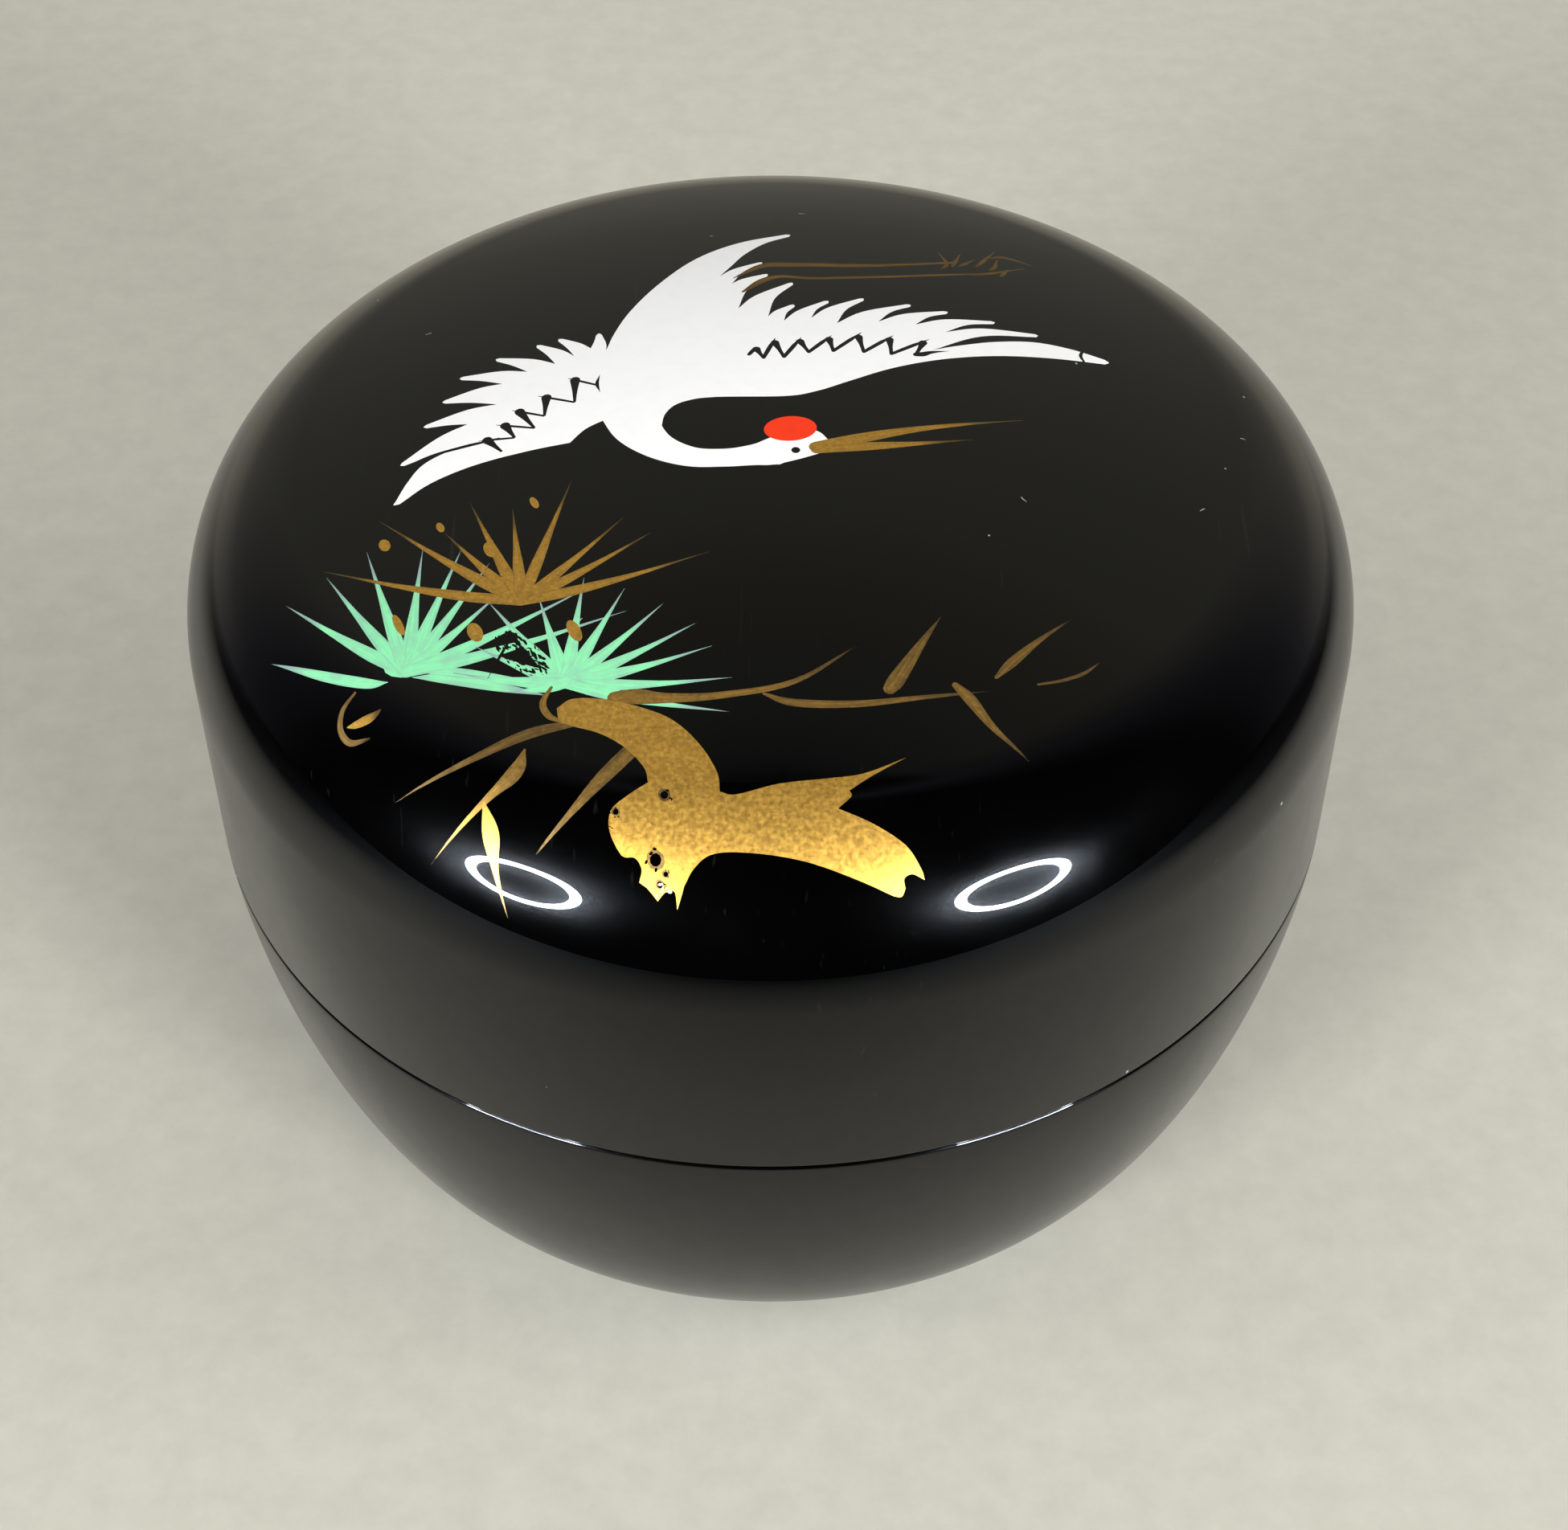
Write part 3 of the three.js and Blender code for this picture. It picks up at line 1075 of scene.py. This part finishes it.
# %% [markdown]
# ## True normals on the skin
#
# A polished dome is a mirror, and a mirror shows every facet. Blender guesses how the surface faces from the
# triangles round each point, and long thin triangles along the strokes would make that guess wobble. The curve is
# known exactly, so the exact direction is stored on the mesh instead.

# %% Store the exact directions
KEEP = Vector((0, 0, 0))


def true_directions(mesh):
    """For each corner, the way the lid's outside really faces, or zero to keep what Blender works out."""
    skin = mesh.attributes["skin"].data
    directions = [KEEP] * len(mesh.loops)
    for face in mesh.polygons:
        if not skin[face.index].value:
            continue
        for loop in face.loop_indices:
            point = mesh.vertices[mesh.loops[loop].vertex_index].co
            radius = point.xy.length
            if radius <= CROWN_RADIUS * math.sin(crown_tilt):
                directions[loop] = Vector((point.x, point.y, point.z - crown_centre)).normalized()
            else:
                out = point.xy / radius * (radius - shoulder_centre)
                directions[loop] = Vector((out.x, out.y, point.z - shoulder_height)).normalized()
    return directions


lid.data.normals_split_custom_set(true_directions(lid.data))
print("directions stored on", len(lid.data.loops), "corners")

# %% [markdown]
# ## Floor, light and what the polish mirrors
#
# Glossy black shows mostly its surroundings. Here they are a pale board that ends a hand's width in front of the
# caddy, darkness beyond it, a dim pale wall at the back, and two ring lamps low in front. The board's mirror image
# is the grey on the sides, and its edge is the line where the grey turns black on the shoulder. So the floor has
# two parts: one that the camera sees, which never ends, and the board, which only the polish sees. The board's
# colour carries painted shade: it is dimmed all over and darker still towards the front and the sides. It also
# melts into the back of the room.

# %% Stage helpers


def flat_sheet(name, low, high, height, material):
    """A flat rectangle between two corners."""
    shape = bmesh.new()
    middle = [(a + b) / 2 for a, b in zip(low, high)]
    bmesh.ops.create_grid(shape, x_segments=1, y_segments=1, size=0.5)
    bmesh.ops.scale(shape, vec=(high[0] - low[0], high[1] - low[1], 1), verts=shape.verts)
    bmesh.ops.translate(shape, vec=(*middle, height), verts=shape.verts)
    piece = make_object(name, shape, [material])
    return piece


def leave_to_polish(piece):
    """Hides a piece from the camera, from matt surfaces and from shadows, so that only a polish mirrors it."""
    piece.visible_camera = False
    piece.visible_diffuse = False
    piece.visible_shadow = False


def glow(name, colour, strength):
    """A material that gives off light."""
    material, tree, surface = new_material(name)
    set_values(surface, Base_Color=(0, 0, 0, 1), Specular_IOR_Level=0.0)
    set_values(surface, Emission_Color=(*colour, 1), Emission_Strength=strength)
    return material


# %% Floor and board
FLOOR_COLOUR = (0.588, 0.575, 0.5)
FLOOR_REACH = 3
BOARD_LOW = (-1.2, -0.16)
BOARD_HIGH = (1.2, 0.23)
BOARD_LIFT = 0.05 * MM
# Painted shade on the mirrored board: its colour darkens towards the front and the sides, and only a share of it is
# left.
BOARD_FRONT_SHADE = (-0.06, -0.15)
BOARD_SIDE_SHADES = ((1, -0.12, -0.25), (-1, -0.13, -0.215))
BOARD_BACK = (0.08, 0.22)
PAINTED_SHADE_BRIGHTNESS = 0.61


def mottled(tree, place):
    """Pale grey with a faint mottle."""
    mottle = noise(tree, place, 300, detail=5.0, roughness=0.7)
    darker = tuple(value * 0.92 for value in FLOOR_COLOUR)
    return mixed(tree, stretch(tree, mottle, 0.35, 0.65), darker, FLOOR_COLOUR)


def fade(tree, place, along, full, gone):
    """From 1 to 0 between two distances along a direction on the floor."""
    reach = node(tree, "VectorMath", operation="DOT_PRODUCT")
    reach.inputs[1].default_value = (*along, 0)
    join(tree, place, reach, 0)
    return stretch(tree, reach.outputs["Value"], gone, full)


def board_painted_shade(tree, place):
    """Painted shade on the board in the polish: its colour is dimmed all over and darker towards the front and the
    sides.
    """
    share = sum_of(tree, "MULTIPLY", fade(tree, place, (0, 1), *BOARD_FRONT_SHADE), PAINTED_SHADE_BRIGHTNESS)
    for side, full, gone in BOARD_SIDE_SHADES:
        share = sum_of(tree, "MULTIPLY", share, fade(tree, place, (side, 0), full, gone))
    return share


def matt(name, share=None):
    """Matt pale board. With a share, its colour is dimmed by that painted shade, and it melts into the back of the
    room.
    """
    material, tree, surface = new_material(name)
    place = node(tree, "TexCoord").outputs["Object"]
    colour = mottled(tree, place)
    if share:
        # painted shade: the board's colour is dimmed by the share
        colour = mixed(tree, share(tree, place), (0, 0, 0), colour)
        join(tree, fade(tree, place, (0, 1), *BOARD_BACK), surface, "Alpha")
    join(tree, colour, surface, "Base Color")
    set_values(surface, Roughness=0.9, Specular_IOR_Level=0.1)
    return material


floor = flat_sheet("floor", (-FLOOR_REACH, -FLOOR_REACH), (FLOOR_REACH, FLOOR_REACH), 0, matt("pale_floor"))
floor.visible_glossy = False
board = flat_sheet("mirrored_board", BOARD_LOW, BOARD_HIGH, BOARD_LIFT, matt("shaded_pale_board", board_painted_shade))
leave_to_polish(board)
print("floor and board, m:", FLOOR_REACH, BOARD_LOW, BOARD_HIGH)

# %% [markdown]
# ## Ring lamps
#
# The two bright ovals on the shoulder are ring lamps. Turning and tilting each one moves its oval along and up
# the shoulder. They only make the ovals, and the light on the table comes from elsewhere.

# %% Ring lamps
LAMP_DISTANCE = 0.6
LAMP_RADIUS = 0.097
LAMP_TUBE = 0.021
LAMP_AIM = 0.05
LAMP_GLOW = 200
LAMP_COLOUR = (0.78, 0.87, 1.0)


def ring_lamp(name, turn, height):
    """A glowing ring in front of the caddy, facing it. Turn and height are angles in degrees."""
    shape = bmesh.new()
    rim = bmesh.ops.create_circle(shape, segments=8, radius=LAMP_TUBE / 2)["verts"]
    upright = Matrix.Rotation(math.pi / 2, 3, "X")
    bmesh.ops.rotate(shape, verts=rim, cent=(0, 0, 0), matrix=upright)
    bmesh.ops.translate(shape, vec=(LAMP_RADIUS, 0, 0), verts=rim)
    bmesh.ops.spin(
        shape, geom=[*shape.verts, *shape.edges], cent=(0, 0, 0), axis=(0, 0, 1), dvec=(0, 0, 0),
        angle=2 * math.pi, steps=48, use_merge=True, use_duplicate=False,
    )
    bmesh.ops.remove_doubles(shape, verts=shape.verts, dist=SAME)
    bmesh.ops.recalc_face_normals(shape, faces=shape.faces)
    upwards = Matrix.Rotation(math.radians(-height), 3, "X")
    sideways_turn = Matrix.Rotation(math.radians(turn), 3, "Z")
    towards = sideways_turn @ upwards @ Vector((0, -1, 0))
    facing = towards.to_track_quat("Z", "Y").to_matrix().to_4x4()
    place = Matrix.Translation(Vector((0, 0, LAMP_AIM)) + towards * LAMP_DISTANCE)
    bmesh.ops.transform(shape, matrix=place @ facing, verts=shape.verts)
    piece = make_object(name, shape, [lamp_glow])
    leave_to_polish(piece)
    print(name, "faces:", len(piece.data.polygons))


lamp_glow = glow("lamp_glow", LAMP_COLOUR, LAMP_GLOW)
ring_lamp("lamp_left", -42.2, 14.4)
ring_lamp("lamp_right", 40.9, 12.9)

# %% [markdown]
# ## Soft light
#
# Two large lamps in front and two faint ones at the sides light the table and the paint. A black polish would
# mirror them as discs that a real soft room doesn't have, so they are hidden from it.

# %% Soft light that no polish mirrors
LIT_PLACE = Vector((0, 0, 0.03))
WARM = (1.0, 0.99, 0.97)


def soft_light(name, place, size, power):
    """A disc of light that lights matt surfaces but isn't mirrored."""
    data = bpy.data.lights.new(name, "AREA")
    data.shape = "DISK"
    data.size = size
    data.energy = power
    data.color = WARM
    lamp = bpy.data.objects.new(name, data)
    lamp.location = place
    lamp.rotation_euler = (LIT_PLACE - Vector(place)).to_track_quat("-Z", "Y").to_euler()
    bpy.context.scene.collection.objects.link(lamp)
    lamp.visible_glossy = False


soft_light("left_light", (-0.77, -0.87, 0.36), 0.4, 12.4)
soft_light("right_light", (0.77, -0.87, 0.36), 0.4, 14.4)
soft_light("left_side_light", (-0.6, -0.1, 0.35), 0.3, 0.6)
soft_light("right_side_light", (0.6, -0.1, 0.35), 0.3, 1.2)
print("lights:", [item.name for item in bpy.data.lights])

# %% [markdown]
# ## The room
#
# The room is different for each kind of ray. The camera sees a plain pale wall, matt surfaces get an even light,
# and the polish sees a dim wall behind the caddy, pale low down and dark above, with dim sides and a dark front.

# %% World
BACKGROUND = (0.55, 0.545, 0.5)
AMBIENT = (0.44, 0.44, 0.43)
DARK_ROOM = (0.003, 0.003, 0.004)
DIM_SIDES = (0.085, 0.08, 0.1)
BACK_WALL = [
    (0.0, (0.42, 0.39, 0.32)), (0.1, (0.3, 0.29, 0.25)), (0.2, (0.265, 0.26, 0.22)),
    (0.76, (0.255, 0.25, 0.21)), (0.86, (0.19, 0.18, 0.14)), (0.92, (0.15, 0.15, 0.13)),
    (0.955, (0.1, 0.1, 0.1)), (0.97, DARK_ROOM),
]

world = bpy.data.worlds.new("room")
world.use_nodes = True
bpy.context.scene.world = world
sky = world.node_tree
rays = node(sky, "LightPath")
way = node(sky, "TexCoord").outputs["Generated"]
split = node(sky, "SeparateXYZ")
join(sky, way, split, 0)
height = split.outputs["Z"]
wall = node(sky, "ValToRGB")
join(sky, height, wall, "Fac")
for number, (position, colour) in enumerate(BACK_WALL):
    stop = wall.color_ramp.elements[number] if number < 2 else wall.color_ramp.elements.new(position)
    stop.position = position
    stop.color = (*colour, 1)
level = sum_of(sky, "SQRT", sum_of(sky, "SUBTRACT", 1.0, sum_of(sky, "MULTIPLY", height, height)), 0)
backward = sum_of(sky, "DIVIDE", split.outputs["Y"], level)
sides = mixed(sky, stretch(sky, backward, -0.05, 0.35), DARK_ROOM, DIM_SIDES)
mirrored = mixed(sky, stretch(sky, backward, 0.34, 0.77), sides, wall.outputs[0])
mirrored = mixed(sky, rays.outputs["Is Glossy Ray"], AMBIENT, mirrored)
seen = mixed(sky, rays.outputs["Is Camera Ray"], mirrored, BACKGROUND)
join(sky, seen, sky.nodes["Background"], "Color")
print("nodes that make the room:", len(sky.nodes))

bpy.context.scene.view_settings.view_transform = "Standard"
